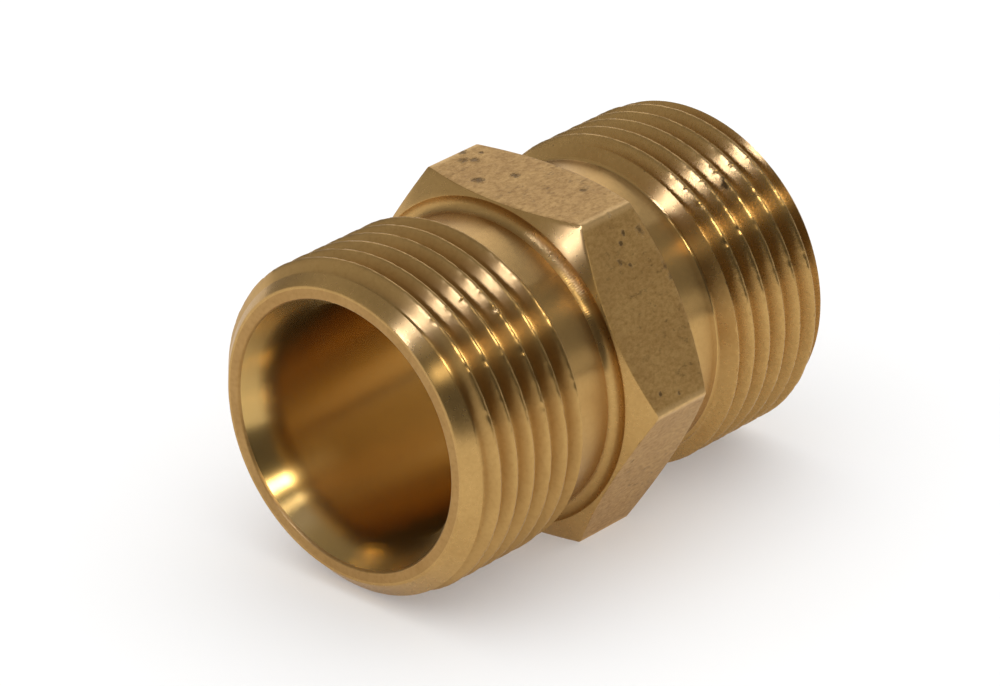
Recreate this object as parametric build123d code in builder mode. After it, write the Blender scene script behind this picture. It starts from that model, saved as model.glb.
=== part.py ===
from build123d import *
import math
import os

# Double male hex nipple, turned from one bar of hexagonal brass. Millimetres.
#
# Frame: the bore runs along +X, the nipple lies on one hex flat with +Z up, and the
# origin is the middle of the hexagon on the axis of the bore. Both ends are the same
# length, so the origin is also the centre of the box. The two corners that lie level
# with the axis point to +Y and -Y.

# ---------------------------------------------------------------- overall sizes
across_flats = 22.0  # the bar, and the spanner that fits it
overall_length = 33.8  # end face to end face
hex_length = 6.55  # what is left of the bar between the two necks
bevel_radius = 10.85  # where the turned bevel of the corners meets the hex face
bevel_angle = 30.0  # slope of that bevel, from the plane of the hex face

# ---------------------------------------------------------------- bore
bore_radius = 7.8
mouth_radius = 8.9  # the sealing cone where it meets the end face
mouth_half_angle = 30.0  # a 60 degree seat

# ---------------------------------------------------------------- thread, M22 x 1.5
thread_radius = 11.0
thread_pitch = 1.5
thread_flank_angle = 30.0  # half the 60 degree profile
end_face_radius = 9.7  # a little under the bottom of the thread
end_chamfer_length = 1.35
thread_phase = 6.656  # where a crest of the +X thread crosses the XY plane on the +Y side
left_thread_turn = 153.0  # the -X thread starts this far round from the +X one, degrees
cutter_clearance = 0.05  # how far the thread cutter stands proud of the crests

# ---------------------------------------------------------------- neck beside the hex
neck_radius = 9.85  # thread relief, a little under the bottom of the thread
neck_end = 6.7  # from the middle of the hex to where the thread starts to rise
corner_radius = 0.6  # nose of the tool that turned the neck, left in the corner
ridge_height = 0.24  # fine ring where the two tool passes meet, above the neck
ridge_inset = 0.03  # how far the ring stands in front of the hex face
facing_hollow = 0.1  # how deep the second pass dips behind the hex face

# ---------------------------------------------------------------- worked out from those
thread_depth = 0.6134 * thread_pitch  # of the standard 60 degree profile
crest_flat = thread_pitch / 8
ridge_radius = neck_radius + ridge_height
corner_to_axis = across_flats / 2 / math.cos(math.radians(30))
half_length = overall_length / 2
half_hex = hex_length / 2
bevel_slope = math.tan(math.radians(bevel_angle))
mouth_depth = (mouth_radius - bore_radius) / math.tan(math.radians(mouth_half_angle))
rise_length = (thread_radius - neck_radius) * math.tan(math.radians(thread_flank_angle))


# ---------------------------------------------------------------- hexagon and necks
def bevel_side(side):
    """Turned outline beside the hexagon: the bevel, the facing pass, the corner and the neck."""
    ridge_x = half_hex + ridge_inset
    drop = corner_radius - ridge_height
    corner_start = ridge_x + math.sqrt(corner_radius**2 - drop**2)
    half_way = (corner_start - ridge_x) / 2
    rise = corner_radius - math.sqrt(corner_radius**2 - half_way**2)
    outer_radius = corner_to_axis + 1  # the cone is carried past the corners to cut them cleanly
    rim = (side * (half_hex - (outer_radius - bevel_radius) * bevel_slope), outer_radius)
    face = (side * half_hex, bevel_radius)
    hollow = (side * (half_hex - facing_hollow), (bevel_radius + ridge_radius) / 2)
    ridge = (side * ridge_x, ridge_radius)
    corner = (side * (ridge_x + half_way), neck_radius + rise)
    neck = (side * corner_start, neck_radius)
    Polyline((0, 0), (0, outer_radius), rim, face)
    ThreePointArc(face, hollow, ridge)
    ThreePointArc(ridge, corner, neck)
    Polyline(neck, (side * neck_end, neck_radius), (side * neck_end, 0), (0, 0))


def turned_middle():
    """The hexagon's bevels and both necks, as a solid of revolution about X."""
    with BuildPart() as middle:
        with BuildSketch(Plane.XY):
            for side in (-1, 1):
                with BuildLine():
                    bevel_side(side)
                make_face()
        revolve(axis=Axis.X)
    return middle.part


# ---------------------------------------------------------------- one threaded end
def thread_groove():
    """The helical groove of the +X thread, right handed, from the neck to past the end face."""
    start_from = neck_end - 1
    turns_back = math.ceil((thread_phase - start_from) / thread_pitch)
    # half a pitch from crest to groove, and a quarter turn on, since the helix starts at +Z
    groove_start = thread_phase + thread_pitch * (0.5 + 0.25 - turns_back)
    slope = math.tan(math.radians(thread_flank_angle))
    half_top = (thread_pitch - crest_flat) / 2
    half_out = half_top + cutter_clearance * slope
    half_root = half_top - thread_depth * slope
    profile_plane = Plane(
        origin=(groove_start, 0, thread_radius), x_dir=(1, 0, 0), z_dir=(0, -1, 0)
    )
    with BuildPart() as groove:
        with BuildLine() as path:
            Helix(
                thread_pitch,
                half_length + 1 - groove_start,
                thread_radius,
                center=(groove_start, 0, 0),
                direction=(1, 0, 0),
            )
        with BuildSketch(profile_plane):
            with BuildLine():
                Polyline(
                    (-half_out, cutter_clearance),
                    (-half_root, -thread_depth),
                    (half_root, -thread_depth),
                    (half_out, cutter_clearance),
                    close=True,
                )
            make_face()
        sweep(path=path.line, is_frenet=True)
    return groove.part


def threaded_end():
    """The +X end beyond its neck, solid, with its chamfer and its thread."""
    with BuildPart() as end:
        # in the XZ plane, so that the seam of the turned surfaces is clear of the helix's start
        with BuildSketch(Plane.XZ):
            with BuildLine():
                Polyline(
                    (neck_end, 0),
                    (neck_end, neck_radius),
                    (neck_end + rise_length, thread_radius),
                    (half_length - end_chamfer_length, thread_radius),
                    (half_length, end_face_radius),
                    (half_length, 0),
                    close=True,
                )
            make_face()
        revolve(axis=Axis.X)
        add(thread_groove(), mode=Mode.SUBTRACT)
    return end.part


# ---------------------------------------------------------------- the nipple
with BuildPart() as hex_nipple:
    # the bar between the two threads, its corners pointing to +Y and -Y
    with BuildSketch(Plane.YZ):
        RegularPolygon(radius=corner_to_axis, side_count=6)
    extrude(amount=neck_end, both=True)
    add(turned_middle(), mode=Mode.INTERSECT)

    # the same threaded end twice: a half turn about Z keeps the thread right handed
    end = threaded_end()
    add(end)
    add(Rot(left_thread_turn, 0, 0) * Rot(0, 0, 180) * end)

    # the bore, right through
    with BuildSketch(Plane.YZ):
        Circle(bore_radius)
    extrude(amount=half_length + 1, both=True, mode=Mode.SUBTRACT)

    # a sealing cone in each mouth
    with BuildSketch(Plane.XY):
        for side in (-1, 1):
            with BuildLine():
                Polyline(
                    (side * (half_length - mouth_depth), bore_radius),
                    (side * half_length, mouth_radius),
                    (side * half_length, bore_radius - 1),
                    (side * (half_length - mouth_depth), bore_radius - 1),
                    close=True,
                )
            make_face()
    revolve(axis=Axis.X, mode=Mode.SUBTRACT)

hex_nipple.part.label = "hex_nipple"

os.makedirs("parts", exist_ok=True)
export_step(hex_nipple.part, "parts/hex_nipple.step")
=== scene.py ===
# %% [markdown]
# # A double male hex nipple in turned brass
#
# The object is one piece. A length of hexagonal brass bar goes into a lathe, and each end
# is turned down, threaded, bored and faced. What is left of the bar in the middle is for
# the spanner. Every surface shows how it was made: the flats are drawn and matt, and the
# rest carries the fine circular marks of a cutting tool. Those marks spread a reflection
# across themselves, which is why a lathe-turned part shows narrow bright bars that run
# along it.
#
# The visual model is one closed mesh in the same frame as the CAD part, which stays as it
# is. Lengths are in millimetres until the mesh is made, and then in metres.

import math

import bpy
import numpy as np
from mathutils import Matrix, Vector


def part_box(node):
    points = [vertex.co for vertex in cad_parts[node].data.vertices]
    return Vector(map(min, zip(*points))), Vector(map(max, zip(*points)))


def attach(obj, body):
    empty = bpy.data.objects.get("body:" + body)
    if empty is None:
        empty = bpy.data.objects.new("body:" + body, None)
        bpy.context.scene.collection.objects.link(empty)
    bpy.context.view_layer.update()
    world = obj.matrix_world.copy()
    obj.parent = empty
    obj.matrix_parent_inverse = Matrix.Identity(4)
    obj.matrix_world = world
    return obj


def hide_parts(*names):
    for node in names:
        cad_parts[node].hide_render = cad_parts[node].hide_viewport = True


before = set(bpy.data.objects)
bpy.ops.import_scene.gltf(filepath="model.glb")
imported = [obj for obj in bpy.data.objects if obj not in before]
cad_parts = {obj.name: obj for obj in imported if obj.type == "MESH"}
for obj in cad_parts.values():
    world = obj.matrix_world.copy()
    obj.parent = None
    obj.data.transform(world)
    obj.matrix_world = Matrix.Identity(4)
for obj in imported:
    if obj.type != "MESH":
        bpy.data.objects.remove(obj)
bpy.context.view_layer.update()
low, high = (np.array(corner) * 1000 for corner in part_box("hex_nipple"))
print("CAD box, mm:", low.round(3), high.round(3))

# %% [markdown]
# ## Sizes
#
# The outside sizes come from the CAD box, and the turned details are the nominal ones of
# an M22 x 1.5 thread on a 22 mm bar. A real edge is never sharp: a turning tool leaves a
# break of a few hundredths of a millimetre, and a drawn bar has corners of about a quarter
# of a millimetre. They are small, but they catch the light, so they are modelled. The
# corner where the cone meets the bore is softer, because it has been polished in use.

# %% Sizes in mm
half_length = high[0]
flat_distance = high[2]
bar_corner_radius = 0.25

thread_radius = 11.0
thread_pitch = 1.5
thread_depth = 0.6134 * thread_pitch
crest_flat = thread_pitch / 8
root_round = 0.2
flank_slope = math.tan(math.radians(30))
end_face_radius = 9.7
end_chamfer_length = 1.35
right_phase = 6.656
left_turn = 153.0

neck_radius = 9.85
neck_end = 6.7
half_hex = 3.275
bevel_radius = 10.85
corner_radius = 0.6
ridge_height = 0.24
ridge_inset = 0.03
facing_hollow = 0.1

bore_radius = 7.8
mouth_radius = 8.9
mouth_depth = (mouth_radius - bore_radius) / math.tan(math.radians(30))

edge_break = 0.03
crest_break = 0.075
rim_break = 0.06
cone_foot_round = 1.0
burr_depth = 0.035  # along all of a crest
tear_depth = 0.06  # at a few places on it
rise_slope = 1 / flank_slope
chamfer_slope = (thread_radius - end_face_radius) / end_chamfer_length
thread_from = neck_end + 0.1
thread_to = half_length - 0.35
print("hexagon", 2 * half_hex, "mm wide; cone", round(mouth_depth, 2), "mm deep")

# %% [markdown]
# ## Lines round the nipple
#
# The mesh is a lathe mesh: every ring has its points at the same angles, so threads, necks,
# hexagon and bore join point to point and the mesh closes without a seam. The angle is
# measured from +Y, where one corner of the hexagon points. Extra lines run along the six
# rounded corners of the bar, which are much narrower than the rest.

# %% Angles of the lengthwise lines
corner_axis = (flat_distance - bar_corner_radius) / math.cos(math.radians(30))
corner_reach = math.degrees(
    math.atan2(
        bar_corner_radius / 2,
        corner_axis + bar_corner_radius * math.cos(math.radians(30)),
    )
)
corner_steps = np.linspace(-corner_reach, corner_reach, 7)
angles = np.sort(
    np.concatenate(
        [[a for a in range(360) if a % 60 != 0]]
        + [(corner + corner_steps) % 360 for corner in range(0, 360, 60)]
    )
)
columns = len(angles)


def bar_radius(angle):
    """Distance from the axis to the surface of the drawn bar, at an angle in degrees."""
    off = (angle + 30) % 60 - 30
    flat = flat_distance / np.cos(np.radians(30 - np.abs(off)))
    across = corner_axis * np.sin(np.radians(off))
    inside = np.maximum(bar_corner_radius**2 - across**2, 0)
    rounded = corner_axis * np.cos(np.radians(off)) + np.sqrt(inside)
    return np.where(np.abs(off) <= corner_reach + 1e-6, rounded, flat)


bar = bar_radius(angles)
print(columns, "lines round; corner of the bar at", bar.max().round(3), "mm")

# %% [markdown]
# ## Outlines
#
# A row is one ring of the mesh: its distance along the axis and its radius, at each angle.
# Most rows are plain circles. Only those that meet the hexagon change with the angle,
# because the turned bevel cuts the flats along a curve. A corner between two lines is
# broken with a small curve of three points.


# %% Building rows
def ring(x, r):
    """One row, with the same point at every angle or with one for each."""
    return np.stack(np.broadcast_arrays(x + 0 * angles, r + 0 * angles), axis=-1)


def line(start, end, parts):
    """The rows between two rows, without either of them."""
    return [start + (end - start) * k / parts for k in range(1, parts)]


def broken(before, corner, after, size):
    """Three rows that round the corner between two straight stretches."""
    to_before = before - corner
    to_after = after - corner
    first = corner + to_before * size / np.linalg.norm(to_before, axis=-1, keepdims=True)
    last = corner + to_after * size / np.linalg.norm(to_after, axis=-1, keepdims=True)
    return [first, first / 4 + corner / 2 + last / 4, last]


def rounded(before, corner, after, size, parts):
    """Rows on a smooth curve that cuts off the corner between two straight stretches."""
    first, _, last = broken(before, corner, after, size)
    steps = np.linspace(0, 1, parts + 1)
    return [first * (1 - t) ** 2 + corner * 2 * t * (1 - t) + last * t**2 for t in steps]


def arc(start, middle, end, parts):
    """The rows on the arc through three points, without its two ends."""
    (ax, ay), (bx, by), (cx, cy) = start, middle, end
    d = 2 * (ax * (by - cy) + bx * (cy - ay) + cx * (ay - by))
    a2, b2, c2 = ax**2 + ay**2, bx**2 + by**2, cx**2 + cy**2
    ox = (a2 * (by - cy) + b2 * (cy - ay) + c2 * (ay - by)) / d
    oy = (a2 * (cx - bx) + b2 * (ax - cx) + c2 * (bx - ax)) / d
    radius = math.hypot(ax - ox, ay - oy)
    turn = np.unwrap([math.atan2(y - oy, x - ox) for x, y in (start, middle, end)])
    steps = np.linspace(turn[0], turn[2], parts + 1)[1:-1]
    return [ring(ox + radius * math.cos(t), oy + radius * math.sin(t)) for t in steps]


def mirrored(rows):
    """The same rows on the other side of the hexagon, in the opposite order."""
    return [row * (-1, 1) for row in reversed(rows)]


print("a row holds", ring(0, bore_radius).shape, "numbers")


# %% [markdown]
# ## From the neck to the flat
#
# Beside the hexagon the lathe tool cuts a neck, so that a nut can screw right up to the
# hexagon. The round nose of the tool is left in the corner, a second pass dips a little
# behind the hex face, and a fine ring stands where the two passes meet. The bevel then
# takes the sharp corners off the bar. Rows are given for the +X side and mirrored.

# %% Neck, corner, bevel and flat, on the +X side
ridge_x = half_hex + ridge_inset
drop = corner_radius - ridge_height
corner_start = ridge_x + math.sqrt(corner_radius**2 - drop**2)
half_way = (corner_start - ridge_x) / 2
half_way_rise = corner_radius - math.sqrt(corner_radius**2 - half_way**2)

rise_foot = ring(neck_end, neck_radius)
start_ring = ring(thread_from, neck_radius + (thread_from - neck_end) * rise_slope)
neck_inner = ring(corner_start, neck_radius)
ridge_point = (ridge_x, neck_radius + ridge_height)
ridge = ring(*ridge_point)
face_point = (half_hex, bevel_radius)
face = ring(*face_point)
hollow_point = (half_hex - facing_hollow, (bevel_radius + ridge_point[1]) / 2)
shoulder = ring(half_hex - (bar - bevel_radius) * flank_slope, bar)
flat_middle = ring(0, bar)

neck_foot = broken(start_ring, rise_foot, neck_inner, rim_break)
neck_rows = neck_foot + line(neck_foot[-1], neck_inner, 8) + [neck_inner]
fillet_middle = (ridge_x + half_way, neck_radius + half_way_rise)
fillet_rows = arc((corner_start, neck_radius), fillet_middle, ridge_point, 6)
hollow_rows = arc(ridge_point, hollow_point, face_point, 10)
ridge_rows = broken(fillet_rows[-1], ridge, hollow_rows[0], edge_break / 2)
face_rows = broken(hollow_rows[-1], face, shoulder, edge_break)
shoulder_rows = broken(face, shoulder, flat_middle, edge_break)
bevel_rows = face_rows + line(face_rows[-1], shoulder_rows[0], 5)
corner_rows = fillet_rows + ridge_rows + hollow_rows
flat_rows = shoulder_rows + line(shoulder_rows[-1], flat_middle, 8)
print("rows in the neck", len(neck_rows), "corner", len(corner_rows), "flat", len(flat_rows))

# %% [markdown]
# ## From the end to the bore
#
# A chamfer leads the nut on, the end face is a narrow ring, and a cone in the mouth is the
# seat for a hose tail. The last cut of the chamfer stays plain below the thread.

# %% End chamfer, end face, cone and bore, on the +X side
end_ring = ring(
    thread_to, end_face_radius + (half_length - thread_to) * chamfer_slope
)
outer_rim = ring(half_length, end_face_radius)
inner_rim = ring(half_length, mouth_radius)
cone_foot = ring(half_length - mouth_depth, bore_radius)
bore_middle = ring(0, bore_radius)

outer_rim_rows = broken(end_ring, outer_rim, inner_rim, rim_break)
inner_rim_rows = broken(outer_rim, inner_rim, cone_foot, rim_break)
face_ring_rows = line(outer_rim_rows[-1], inner_rim_rows[0], 6)
cone_foot_rows = rounded(inner_rim, cone_foot, bore_middle, cone_foot_round, 10)
cone_rows = line(inner_rim_rows[-1], cone_foot_rows[0], 8)
bore_rows = line(cone_foot_rows[-1], bore_middle, 14)
print("rows in the cone", len(cone_rows + cone_foot_rows), "bore", len(bore_rows))

# %% [markdown]
# ## The mesh
#
# The points and faces are collected in plain lists. A chain joins one row to the next with
# four-sided faces, and each stretch of rows has its own finish. There are two chains, one
# over the middle and one through the bore, and the threads join them at both ends.


# %% Chains of rows
points = []
faces = []
face_finish = []
FINISHES = ["thread", "neck", "corner", "turned", "drawn", "faced", "bored"]


def add_ring(row):
    """Stores one row as points and gives back their numbers."""
    first = len(points)
    for (x, r), angle in zip(row, np.radians(angles)):
        points.append((x, r * math.cos(angle), r * math.sin(angle)))
    return np.arange(first, first + columns)


def join(before, after, finish):
    """Faces between two rings of point numbers."""
    for i in range(columns):
        j = (i + 1) % columns
        faces.append((before[i], before[j], after[j], after[i]))
        face_finish.append(FINISHES.index(finish))


def add_chain(stretches):
    """Joins stretches of rows, each (finish, rows), and gives back the first and last ring."""
    first = previous = None
    for finish, rows in stretches:
        for row in rows:
            current = add_ring(row)
            if previous is not None:
                join(previous, current, finish)
            first = current if first is None else first
            previous = current
    return first, previous


right_inner, left_inner = add_chain(
    [
        ("neck", [start_ring] + neck_rows),
        ("corner", corner_rows),
        ("turned", bevel_rows),
        ("drawn", flat_rows + [flat_middle] + mirrored(flat_rows)),
        ("turned", mirrored(bevel_rows)),
        ("corner", mirrored(corner_rows)),
        ("neck", mirrored(neck_rows)),
        ("neck", [start_ring * (-1, 1)]),
    ]
)
right_outer, left_outer = add_chain(
    [
        ("turned", [end_ring] + outer_rim_rows),
        ("faced", face_ring_rows + inner_rim_rows),
        ("bored", cone_rows + cone_foot_rows),
        ("bored", bore_rows + [bore_middle] + mirrored(bore_rows)),
        ("bored", mirrored(cone_foot_rows) + mirrored(cone_rows)),
        ("faced", mirrored(inner_rim_rows) + mirrored(face_ring_rows)),
        ("turned", mirrored(outer_rim_rows) + [end_ring * (-1, 1)]),
    ]
)
print(len(points), "points in the hexagon, necks, end faces and bore")

# %% [markdown]
# ## The threads
#
# A thread is the same groove all along a helix, so its rows follow the helix: each point
# moves one pitch along the axis in a full turn, and after that turn a row has become the
# next one. The profile of one pitch is worked out first. The root is round, as a threading
# insert leaves it, and the crests have a small break.


# %% Thread profile
def thread_profile():
    """Points (distance from the middle of the crest, radius) over one pitch."""
    half_crest = crest_flat / 2
    root = thread_radius - thread_depth
    root_low = thread_pitch / 2
    # the round root touches the flank where its slope is 30 degrees from square
    centre = root + root_round
    touch = (
        root_low - root_round * math.cos(math.radians(30)),
        centre - root_round * math.sin(math.radians(30)),
    )
    touch_flank = (half_crest + (thread_radius - touch[1]) * flank_slope, touch[1])
    flank_top = (
        half_crest + crest_break * math.sin(math.radians(30)),
        thread_radius - crest_break * math.cos(math.radians(30)),
    )
    side = [(half_crest - crest_break, thread_radius)]
    side += [(half_crest - crest_break * 0.15, thread_radius - crest_break * 0.25)]
    side += [flank_top]
    for share in (0.2, 0.4, 0.6, 0.8):
        side.append(
            tuple(np.array(flank_top) * (1 - share) + np.array(touch_flank) * share)
        )
    side += [touch_flank]
    reach = root_low - touch_flank[0]
    depth = touch_flank[1] - root
    for share in (0.35, 0.7):
        side.append((touch_flank[0] + reach * share, root + depth * (1 - share) ** 2))
    half = [(0, thread_radius)] + side
    back = [(thread_pitch - u, r) for u, r in reversed(side)]
    return np.array(half + [(root_low, root)] + back)


profile = thread_profile()
per_pitch = len(profile)
print(per_pitch, "rows in each pitch")

# %% [markdown]
# ### Where the thread is cut
#
# Before it is threaded, each end is a plain cylinder that rises from the neck on one cone
# and falls to the end face on another. The groove is cut into that blank, so the smaller
# radius of the two is taken. The nearest row is moved on to each crossing, so that the edge
# is clean. The tool drags a fine burr along the crests and tears them here and there, which
# is why they glint. A random wave with its own seed gives the same burr on every run.


# %% Burr, blank and cut
def burr(rows, seed):
    """How much is missing from each crest point, in mm: a random waviness and a few tears."""
    rng = np.random.default_rng(seed)
    on_crest = profile[:, 1] > thread_radius - crest_break * 1.01
    missing = np.zeros((rows, columns))
    for k in range(rows // per_pitch):
        wave = rng.random(columns) ** 3
        torn = rng.random(columns) ** 40
        wave = (wave + np.roll(wave, 1)) / 2
        for row in np.nonzero(on_crest)[0]:
            depth = burr_depth * wave + tear_depth * torn
            missing[k * per_pitch + row] = depth * (0.5 + rng.random())
    return missing


def blank_radius(x):
    """Radius of the end before it is threaded: the rise from the neck, or the end chamfer."""
    rise = neck_radius + (np.abs(x) - neck_end) * rise_slope
    chamfer = end_face_radius + (half_length - np.abs(x)) * chamfer_slope
    return np.minimum(rise, chamfer)


def cut_thread(phase, start, end, seed):
    """Places and radii of the thread's rows, and which points lie on the uncut blank."""
    first_turn = math.floor((start - phase) / thread_pitch) - 2
    turns = math.ceil((end - start) / thread_pitch) + 4
    u = np.concatenate([profile[:, 0] + thread_pitch * (first_turn + k) for k in range(turns)])
    x = phase + u[:, None] + thread_pitch * angles[None, :] / 360
    cut = np.tile(profile[:, 1], turns)[:, None] - burr(len(u), seed)
    r = np.minimum(cut, blank_radius(x))
    gap = blank_radius(x) - cut
    on_blank = gap <= 0
    crossing = (gap[:-1] * gap[1:] < 0) & (x[:-1] > start) & (x[1:] < end)
    for k, i in zip(*np.nonzero(crossing)):
        t = gap[k, i] / (gap[k, i] - gap[k + 1, i])
        row = k if t < 0.5 else k + 1
        x[row, i] = x[k, i] + t * (x[k + 1, i] - x[k, i])
        r[row, i] = blank_radius(x[row, i])
        on_blank[row, i] = True
    return x, r, on_blank


print("deepest tear", round(float(burr(per_pitch, seed=11).max()), 3), "mm")

# %% [markdown]
# ### The surface of the thread
#
# Each point beyond one of the two end rings becomes a point of that ring, and faces that
# have shrunk to nothing are left out. So the thread joins the rest with no gap. Faces that
# lie on the blank's cones are turned, and only the groove has the finish of the thread.

# %% Thread surface
margin = 0.004  # a row this near to the end ring, in mm, is the end ring


def add_thread(phase, side, inner, outer, seed):
    """A threaded stretch between the ring at the neck and the ring at the end chamfer."""
    near, far = (inner, outer) if side > 0 else (outer, inner)
    start, end = sorted((side * thread_from, side * thread_to))
    x, r, on_blank = cut_thread(phase, start, end, seed)
    count = len(points)
    number = np.full(x.shape, -1)
    for i in range(columns):
        column = x[:, i]
        number[column <= start + margin, i] = near[i]
        number[column >= end - margin, i] = far[i]
        free = (column > start + margin) & (column < end - margin)
        number[free, i] = np.arange(count, count + free.sum())
        count += free.sum()
        angle = math.radians(angles[i])
        for xi, ri in zip(column[free], r[free, i]):
            points.append((xi, ri * math.cos(angle), ri * math.sin(angle)))

    last = len(x) - 1
    for k in range(last):
        for i in range(columns):
            shift = per_pitch if i == columns - 1 else 0
            j = (i + 1) % columns
            if k + shift + 1 > last:
                continue
            places = ((k, i), (k + shift, j), (k + shift + 1, j), (k + 1, i))
            corners = list(dict.fromkeys(number[place] for place in places))
            if len(corners) > 2:
                faces.append(tuple(corners))
                turned = all(on_blank[place] for place in places)
                face_finish.append(FINISHES.index("turned" if turned else "thread"))


left_phase = -(right_phase + thread_pitch * (180 + left_turn) / 360)
add_thread(right_phase, 1, right_inner, right_outer, seed=11)
add_thread(left_phase, -1, left_inner, left_outer, seed=12)
print(len(points), "points and", len(faces), "faces in all")

# %% [markdown]
# ## Into Blender
#
# The lists become one mesh. Faces are shaded smooth, with sharp edges wherever the surface
# turns more than 38 degrees, such as the foot of the thread. A Weighted Normal modifier
# lets the large faces rule the shading, so that the narrow breaks at the edges look round
# and the flats look flat.

# %% The mesh object
sharp_above = 38  # degrees between two faces
large_face_weight = 90
mesh = bpy.data.meshes.new("nipple_body")
mesh.from_pydata(
    (np.array(points) / 1000).tolist(),
    [],
    [tuple(int(c) for c in corners) for corners in faces],
)
mesh.validate()
nipple = bpy.data.objects.new("nipple_body", mesh)
bpy.context.scene.collection.objects.link(nipple)
mesh.polygons.foreach_set("material_index", face_finish)
mesh.polygons.foreach_set("use_smooth", [True] * len(mesh.polygons))
flat_part = mesh.polygons[face_finish.index(FINISHES.index("drawn"))]
if flat_part.normal.dot(flat_part.center) < 0:
    mesh.flip_normals()
mesh.set_sharp_from_angle(angle=math.radians(sharp_above))
weighted = nipple.modifiers.new("large_faces_stay_flat", "WEIGHTED_NORMAL")
weighted.keep_sharp = True
weighted.weight = large_face_weight
print(len(mesh.polygons), "faces;", [face_finish.count(k) for k in range(len(FINISHES))], "by finish")

# %% [markdown]
# ## Brass
#
# Free-cutting brass, about 58% copper, is a warm yellow metal, and its colour is the
# colour of what it reflects. The hex colours below are what the finishes look like in
# plain white light: a clean cut, a dulled one, the end face and the polished bore, and
# then what stains, pits and dirt make of it. The light colour of the bar's corners is
# wear and a painted highlight as well. Blender's shaders work in linear light, so one
# function turns them.


# %% Colours
def linear(hex_colour):
    """An sRGB colour such as "#CBA569" as linear red, green, blue and alpha."""
    parts = [int(hex_colour[k : k + 2], 16) / 255 for k in (1, 3, 5)]
    return [c / 12.92 if c < 0.04045 else ((c + 0.055) / 1.055) ** 2.4 for c in parts] + [1]


brass_colour = linear("#BE985D")
brass_dark = linear("#8E6735")
brass_faced = linear("#B08A54")
brass_bored = linear("#CBA868")
# the bar's bright corners: worn, and a painted highlight along the edges as well
worn_and_highlight_colour = linear("#E8C48A")
stain_colour = linear("#5E4526")
pit_colour = linear("#4A3520")
dirt_colour = linear("#3A2814")
print("clean cut brass, linear:", [round(c, 3) for c in brass_colour[:3]])

# %% [markdown]
# ## Building materials from nodes
#
# One function adds a node. An input can be a number, a colour, a socket, or another node,
# which stands for its first output. All patterns are laid out in millimetres on the
# nipple, so that a scale is simply how many grains there are in a millimetre.


# %% Helpers for materials
def add(tree, kind, inputs=(), **settings):
    """A node with its settings, and its inputs by name, or in their own order."""
    node = tree.nodes.new("ShaderNode" + kind)
    for name, value in settings.items():
        setattr(node, name, value)
    pairs = inputs.items() if isinstance(inputs, dict) else enumerate(inputs)
    for name, value in pairs:
        if isinstance(value, bpy.types.Node):
            value = next(output for output in value.outputs if output.enabled)
        if isinstance(value, bpy.types.NodeSocket):
            tree.links.new(value, node.inputs[name])
        else:
            node.inputs[name].default_value = value
    return node


def new_material(name):
    """An empty material with its tree."""
    material = bpy.data.materials.new(name)
    material.use_nodes = True
    material.node_tree.nodes.clear()
    return material, material.node_tree


def in_millimetres(tree):
    """The position on the nipple in mm, its x, its angle round the axis and its radius."""
    metres = add(tree, "TexCoord").outputs["Object"]
    position = add(tree, "VectorMath", (metres, (1000, 1000, 1000)), operation="MULTIPLY")
    x, y, z = add(tree, "SeparateXYZ", (position,)).outputs
    angle = add(tree, "Math", (z, y), operation="ARCTAN2")
    from_axis = add(tree, "CombineXYZ", (0.0, y, z))
    radius = add(tree, "VectorMath", (from_axis,), operation="LENGTH")
    return position, x, angle, radius


def grain(tree, position, per_mm, detail, roughness=0.5):
    """A noise pattern with its own number of grains per mm along x, y and z."""
    place = add(tree, "VectorMath", (position, per_mm), operation="MULTIPLY")
    look = {"Vector": place, "Scale": 1.0, "Detail": detail, "Roughness": roughness}
    return add(tree, "TexNoise", look)


# %% [markdown]
# ## Dents
#
# A loose fitting knocks about in a box with others, and dirt stays in the dents. Each one
# is a spot round a point on the surface, with an edge that the surface's own grain makes
# ragged. Lists of places are used because a person sees at once where a dent is, and a
# random pattern would put them anywhere.

# %% Places of the dents: x, y, z and size in mm
flat_dents = [
    (0.38, 4.79, 11.0, 0.3),
    (-0.1, 5.3, 11.0, 0.3),
    (0.71, 6.18, 11.0, 0.25),
    (-1.64, 2.71, 11.0, 0.3),
    (0.42, 1.48, 11.0, 0.25),
    (1.61, -3.07, 11.0, 0.2),
    (2.15, -7.26, 9.43, 0.3),
    (3.01, -8.57, 7.15, 0.22),
    (3.25, -8.95, 6.5, 0.28),
    (-0.41, -7.87, 8.38, 0.2),
]
thread_dents = [
    (12.48, -5.91, 9.16, 0.28),
    (11.47, -6.18, 8.98, 0.3),
    (13.29, -5.55, 9.38, 0.2),
    (12.45, -10.12, -4.06, 0.25),
    (10.86, -10.42, -3.2, 0.25),
    (7.26, -6.06, 9.06, 0.2),
    (4.97, -8.95, 6.21, 0.25),
]


def dents(tree, position, ragged, places):
    """1 in the dents and 0 elsewhere."""
    nearest = 100.0  # farther than any dent, in sizes of a dent
    for x, y, z, size in places:
        away = add(tree, "VectorMath", (position, (x, y, z)), operation="DISTANCE")
        in_sizes = add(tree, "Math", (away, size), operation="DIVIDE")
        nearest = add(tree, "Math", (in_sizes, nearest), operation="MINIMUM")
    wander = add(tree, "MapRange", (ragged, 0.3, 0.7, -0.9, 0.9))
    edge = add(tree, "Math", (nearest, wander), operation="ADD")
    return add(tree, "MapRange", (edge, 0.3, 1.3, 1.0, 0.0))


print(len(flat_dents), "dents on the flats and", len(thread_dents), "on the +X thread")

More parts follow.
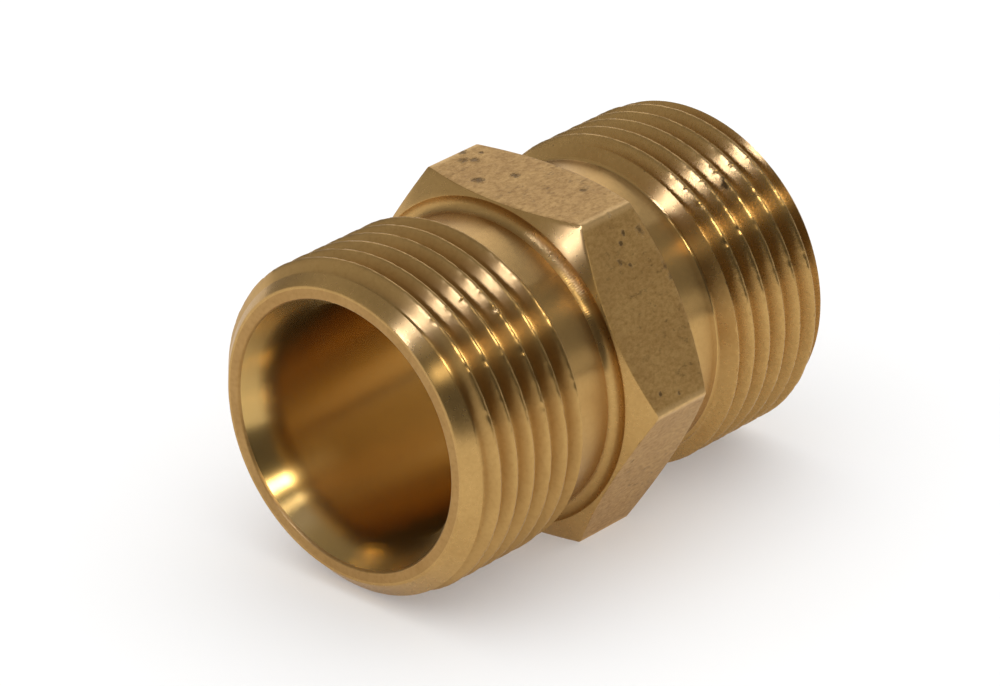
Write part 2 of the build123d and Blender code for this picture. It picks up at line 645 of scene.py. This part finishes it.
# %% [markdown]
# ## Turned brass
#
# A lathe tool leaves circular grooves, one for each turn of the work. They are finer than
# can be seen one by one, so most of their effect is in how they spread a reflection: far
# across the grooves and hardly along them. That is an anisotropic metal, with its tangent
# running round the X axis and a quarter turn of rotation. The IOR stays as it is for a
# metal, and the roughness starts from 0.25, usual for turned brass.
#
# A finishing cut moves the tool 0.05 to 0.1 mm in a turn, which is too fine to show. So the
# bump is drawn a little coarser, at nine marks to a millimetre. Its marks are one or a few
# thousandths of a millimetre deep, and each runs about an eighth of the way round.
#
# Where the neck meets the hexagon the tool has chattered, which leaves ripples along one
# stretch of the corner. There are 400 of them to a turn of the work, a sixth of a
# millimetre apart.


# %% Tool marks, chatter and stains
chatter_waves = 400.0  # in one turn
chatter_at = math.radians(122)  # the middle of the rippled stretch, from +Y towards +Z
chatter_full = math.radians(12)
chatter_ends = math.radians(26)


def tool_marks(tree, x, angle, radius, per_mm, rings):
    """Grooves round the axis, side by side along it, or on an end face as rings."""
    mirrored_angle = add(tree, "Math", (angle,), operation="ABSOLUTE")
    around = add(tree, "Math", (mirrored_angle, 10.0), operation="MULTIPLY")
    places = (radius, around, x) if rings else (x, around, radius)
    return grain(tree, add(tree, "CombineXYZ", places), (per_mm, 0.12, 0.3), 1.5)


def chatter_ripples(tree, angle, radius, depth):
    """The ripples that a chattering tool leaves on one stretch of the corner, in mm."""
    phase = add(tree, "Math", (angle, chatter_waves), operation="MULTIPLY")
    wave = add(tree, "Math", (phase,), operation="SINE")
    aside = add(tree, "Math", (angle, chatter_at), operation="SUBTRACT")
    stretch = add(tree, "Math", (aside,), operation="ABSOLUTE")
    height = add(tree, "MapRange", (stretch, chatter_full, chatter_ends, depth, 0.0))
    top = bevel_radius
    below_face = add(tree, "MapRange", (radius, top - 0.35, top - 0.05, 1.0, 0.0))
    height = add(tree, "Math", (height, below_face), operation="MULTIPLY")
    return add(tree, "Math", (wave, height), operation="MULTIPLY")


def stained(tree, position, grains, tone, amount):
    """The tone with dull patches 3 mm across and small ones of 0.3 mm."""
    patches = grain(tree, position, (0.35, 0.35, 0.35), 3.0, 0.6)
    wide = add(tree, "MapRange", (patches, 0.35, 0.75, 0.0, amount))
    tone = add(tree, "Mix", {0: wide, 6: tone, 7: brass_dark}, data_type="RGBA")
    small = add(tree, "MapRange", (grains, 0.45, 0.8, 0.0, amount))
    return add(tree, "Mix", {0: small, 6: tone, 7: brass_dark}, data_type="RGBA")


print("ripples", round(2 * math.pi * bevel_radius / chatter_waves, 2), "mm apart")


# %% A turned finish
def turned_brass(name, tone, look, marks, rings=False, chatter=0.0, marked=(), handled=0.0):
    """Brass with circular tool marks.

    look is roughness, its variation, anisotropy and stains; marks is how many there are
    to a mm and their depth in mm. handled makes the -X end duller than the +X end.
    """
    roughness, variation, anisotropy, stains = look
    per_mm, mark_depth = marks
    material, tree = new_material(name)
    position, x, angle, radius = in_millimetres(tree)
    grains = grain(tree, position, (3.5, 3.5, 3.5), 2.0)
    tone = stained(tree, position, grains, tone, stains)
    if marked:
        spots = dents(tree, position, grains, marked)
        spots = add(tree, "Math", (spots, 0.85), operation="MULTIPLY")
        tone = add(tree, "Mix", {0: spots, 6: tone, 7: dirt_colour}, data_type="RGBA")

    grooves = tool_marks(tree, x, angle, radius, per_mm, rings)
    height = add(tree, "Math", (grooves, mark_depth), operation="MULTIPLY")
    if chatter:
        ripples = chatter_ripples(tree, angle, radius, chatter)
        height = add(tree, "Math", (height, ripples), operation="ADD")
    normal = add(tree, "Bump", {"Height": height, "Distance": 0.001})

    least, most = roughness * (1 - variation), roughness * (1 + variation)
    rough = add(tree, "MapRange", (grains, 0.3, 0.8, least, most))
    if handled:
        wear = add(tree, "MapRange", (x, -3.0, 3.0, 1 + handled, 1 - handled))
        rough = add(tree, "Math", (rough, wear), operation="MULTIPLY")
    shader = {
        "Base Color": tone,
        "Metallic": 1.0,
        "Roughness": rough,
        "Normal": normal,
        "Anisotropic": anisotropy,
        "Anisotropic Rotation": 0.25,
        "Tangent": add(tree, "Tangent", direction_type="RADIAL", axis="X"),
    }
    add(tree, "OutputMaterial", (add(tree, "BsdfPrincipled", shader),))
    return material


# %% [markdown]
# The same way of making gives six finishes. The thread is cut with a form tool and is a
# little rougher. The neck has the finest finish, the corner beside it ripples, and the
# cones and bevels lie between the two. The end face is faced with a coarser, duller cut,
# whose marks are rings. The bore has been drilled and reamed and is smooth and clean.

# %% The six turned finishes
materials = {
    "thread": turned_brass(
        "cut_brass_thread",
        brass_colour,
        (0.29, 0.04, 0.96, 0.2),
        (9.0, 0.0012),
        marked=thread_dents,
        handled=0.05,
    ),
    "neck": turned_brass(
        "turned_brass_neck", brass_colour, (0.235, 0.03, 0.95, 0.15), (9.0, 0.0015)
    ),
    "corner": turned_brass(
        "turned_brass_corner",
        brass_colour,
        (0.28, 0.03, 0.95, 0.15),
        (9.0, 0.001),
        chatter=0.004,
    ),
    "turned": turned_brass(
        "turned_brass_cones", brass_colour, (0.28, 0.03, 0.95, 0.2), (9.0, 0.001)
    ),
    "faced": turned_brass(
        "faced_brass_end", brass_faced, (0.42, 0.08, 0.5, 0.35), (7.0, 0.005), rings=True
    ),
    "bored": turned_brass(
        "bored_brass", brass_bored, (0.26, 0.0, 0.85, 0.0), (5.0, 0.0018)
    ),
}
print("turned finishes:", [material.name for material in materials.values()])

# %% [markdown]
# ## Drawn brass
#
# The flats are the skin of the bar as it left the drawing die. The skin is matt and sandy,
# with faint lines along the bar, dark pits and brown stains. Its corners are worn bright,
# and their lighter colour is also a painted highlight along the edges. The real grain is
# about 0.05 mm wide, which is too fine to show, so it is drawn as grains of a quarter of a
# millimetre with finer ones inside. It is a bump 0.03 mm deep, and the same noise roughens
# and darkens the hollows, because dirt stays in them.


# %% Pits and stains of the drawn skin
def pits_in(tree, position, sand):
    """1 in small round pits that lie a few millimetres apart, and 0 elsewhere."""
    cells = add(tree, "TexVoronoi", {"Vector": position, "Scale": 0.55, "Randomness": 1.0})
    wander = add(tree, "MapRange", (sand, 0.3, 0.7, -0.06, 0.06))
    edge = add(tree, "Math", (cells.outputs["Distance"], wander), operation="ADD")
    return add(tree, "MapRange", (edge, 0.05, 0.11, 1.0, 0.0))


def stains_on(tree, position):
    """Small brown stains that gather in a few areas."""
    blotches = grain(tree, position, (1.6, 2.6, 2.6), 3.0, 0.65)
    areas = grain(tree, position, (0.22, 0.22, 0.22), 1.0)
    dark = add(tree, "MapRange", (blotches, 0.58, 0.68, 0.0, 1.0))
    share = add(tree, "MapRange", (areas, 0.45, 0.6, 0.15, 1.0))
    return add(tree, "Math", (dark, share), operation="MULTIPLY")


def toned(tree, tone, share, amount, colour):
    """The tone mixed with a colour by an amount of a share."""
    part = add(tree, "Math", (share, amount), operation="MULTIPLY")
    return add(tree, "Mix", {0: part, 6: tone, 7: colour}, data_type="RGBA")


# %% The drawn finish
def drawn_brass(name):
    """Matt, sandy brass as it left the die, with a few dark pits."""
    material, tree = new_material(name)
    position, _, _, radius = in_millimetres(tree)
    sand = grain(tree, position, (3.0, 4.5, 4.5), 5.0, 0.68)
    draw_lines = grain(tree, position, (0.6, 6.0, 6.0), 2.0)
    patches = grain(tree, position, (0.45, 0.45, 0.45), 3.0, 0.6)
    pits = pits_in(tree, position, sand)
    knocks = dents(tree, position, sand, flat_dents)
    corner = float(bar.max())
    # a band along the bar's corners, lighter as wear and as a painted highlight
    worn_and_highlight = add(tree, "MapRange", (radius, corner - 0.2, corner - 0.03, 0.0, 1.0))

    hollows = add(tree, "MapRange", (sand, 0.42, 0.7, 0.0, 1.0))
    dull = add(tree, "MapRange", (patches, 0.4, 0.7, 0.0, 1.0))
    tone = toned(tree, brass_colour, hollows, 0.6, brass_dark)
    tone = toned(tree, tone, dull, 0.3, brass_dark)
    tone = toned(tree, tone, stains_on(tree, position), 0.55, stain_colour)
    tone = toned(tree, tone, pits, 0.75, pit_colour)
    # painted highlight and wear on the corners of the bar
    tone = toned(tree, tone, worn_and_highlight, 0.5, worn_and_highlight_colour)
    tone = toned(tree, tone, knocks, 0.65, pit_colour)

    holes = add(tree, "Math", (pits, knocks), operation="MAXIMUM")
    depth = add(tree, "Math", (holes, 2.0), operation="MULTIPLY")
    height = add(tree, "Math", (sand, depth), operation="SUBTRACT")
    sandy = add(tree, "Bump", {"Height": height, "Distance": 0.03 / 1000})
    lined = {"Height": draw_lines, "Distance": 0.006 / 1000, "Normal": sandy}
    shader = {
        "Base Color": tone,
        "Metallic": 1.0,
        "Roughness": add(tree, "MapRange", (sand, 0.3, 0.7, 0.42, 0.56)),
        "Normal": add(tree, "Bump", lined),
    }
    add(tree, "OutputMaterial", (add(tree, "BsdfPrincipled", shader),))
    return material


materials["drawn"] = drawn_brass("drawn_brass_flats")
for finish in FINISHES:
    mesh.materials.append(materials[finish])
print(len(mesh.materials), "materials on the nipple")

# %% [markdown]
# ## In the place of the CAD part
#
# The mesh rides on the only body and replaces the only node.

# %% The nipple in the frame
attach(nipple, "root")
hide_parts("hex_nipple")
print(nipple.name, "replaces hex_nipple")

# %% [markdown]
# ## Lights
#
# Metal shows what stands round it, so the lights are shapes as well as brightness. The key
# and the second light are small, and each gives one short bright patch on every thread and
# one on each cone. The key is a little blue and the second a little yellow. The third,
# weaker one is for the corner beside the hexagon. The panels are large and soft: the one
# behind is what the upper flat and the necks reflect. Angles are as seen from the nipple,
# and brightness is the light's own, whatever its size.


# %% Softboxes
def direction(azimuth, elevation):
    """Unit vector towards a place round the object: 0 is -Y, 90 is +X."""
    a, e = math.radians(azimuth), math.radians(elevation)
    return Vector((math.sin(a) * math.cos(e), -math.cos(a) * math.cos(e), math.sin(e)))


def softbox(name, place, width, height, brightness, colour="#FFFFFF", distance=1.0):
    """A rectangular light. Place, width and height are in degrees."""
    data = bpy.data.lights.new(name, "AREA")
    data.shape = "RECTANGLE"
    data.size = 2 * distance * math.tan(math.radians(width / 2))
    data.size_y = 2 * distance * math.tan(math.radians(height / 2))
    data.energy = brightness * math.pi * data.size * data.size_y
    data.color = linear(colour)[:3]
    light = bpy.data.objects.new(name, data)
    towards = direction(*place)
    light.location = towards * distance
    light.rotation_mode = "QUATERNION"
    light.rotation_quaternion = towards.to_track_quat("Z", "Y")
    bpy.context.scene.collection.objects.link(light)
    return light


paper_light = softbox("paper_light", (0, 90), 110, 110, 0.22)
paper_fill = softbox("paper_fill", (0, 88), 110, 110, 1.02)
brass_lights = [
    softbox("key", (-91, 33), 7.5, 9, 46.0, "#C4D0FF"),
    softbox("second", (-26, 44), 7, 8, 50.0, "#FFFAE8"),
    softbox("third", (-33, 61), 8, 7, 8.0),
    softbox("back_panel", (130, 28), 60, 34, 1.02),
    softbox("high_panel", (106, 50), 44, 18, 0.7, "#E2EAFF"),
    softbox("left_panel", (-130, 25), 60, 44, 0.2),
    softbox("side_panel", (44, 7), 60, 10, 0.4),
]
print(len(brass_lights), "lights for the brass and 2 for the paper")

# %% [markdown]
# ## The room
#
# The room gives a plain grey-white light from all sides. It is darker where the camera
# stands, and the darker part shows in the necks and in the mouth as soft dark bands.

# %% The room
room_bright, room_dark = 0.35, 0.1
world = bpy.data.worlds.new("studio")
world.use_nodes = True
sky = world.node_tree
looking = add(sky, "TexCoord").outputs["Generated"]
alike = add(sky, "VectorMath", (looking, direction(-38, 14)), operation="DOT_PRODUCT")
strength = add(sky, "MapRange", (alike, 0.45, 0.9, room_bright, room_dark))
background = sky.nodes["Background"]
background.inputs["Color"].default_value = linear("#F2F2F2")
sky.links.new(strength.outputs["Result"], background.inputs["Strength"])
bpy.context.scene.world = world
print("room from", room_dark, "to", room_bright)

# %% [markdown]
# ## Paper
#
# The nipple lies on a plain sheet of matt white paper, with the face of the lower flat on
# it. The lights for the brass have flags on their stands, which here is light linking:
# they reach the nipple and not the paper, and the two paper lights reach only the paper.
# The fill comes from all round the nipple, so the nipple doesn't block it.

# %% Paper and flags
reach = 3.0  # half the sheet's width in metres, so that its edge is never seen
sheet_height = low[2] / 1000
corners = [(-reach, -reach), (reach, -reach), (reach, reach), (-reach, reach)]
floor_mesh = bpy.data.meshes.new("floor")
floor_mesh.from_pydata([(x, y, sheet_height) for x, y in corners], [], [(0, 1, 2, 3)])
floor = bpy.data.objects.new("floor", floor_mesh)
bpy.context.scene.collection.objects.link(floor)
paper, paper_tree = new_material("pale_paper")
paper_shader = add(
    paper_tree, "BsdfPrincipled", {"Base Color": (0.92, 0.92, 0.92, 1), "Roughness": 0.9}
)
add(paper_tree, "OutputMaterial", (paper_shader,))
floor_mesh.materials.append(paper)


def lights_only(light, target):
    """A flag on the stand: the light reaches this object and nothing else."""
    group = bpy.data.collections.new(light.name + "_reaches")
    group.objects.link(target)
    light.light_linking.receiver_collection = group
    return group


lights_only(paper_light, floor)
paper_fill.light_linking.blocker_collection = lights_only(paper_fill, floor)
for light in brass_lights:
    lights_only(light, nipple)
print("paper at", round(sheet_height * 1000, 2), "mm")

# %% [markdown]
# ## Camera
#
# A long lens on the side of the -X end and of -Y, looking down a little, so that the
# mouth, two flats and both threads show.

# %% Camera
camera_data = bpy.data.cameras.new("camera")
camera_data.lens = 207.8
camera_data.sensor_width = 36.0
camera_data.clip_start = 0.01
camera = bpy.data.objects.new("camera", camera_data)
back = direction(-48.08, 27.01)
aim = Vector((-1.170, 1.303, -0.011)) / 1000
camera.location = aim + back * 0.36127
camera.rotation_mode = "QUATERNION"
camera.rotation_quaternion = back.to_track_quat("Z", "Y")
bpy.context.scene.collection.objects.link(camera)
bpy.context.scene.camera = camera
bpy.context.scene.view_settings.view_transform = "Standard"
print("camera", round((camera.location - aim).length * 1000), "mm away")
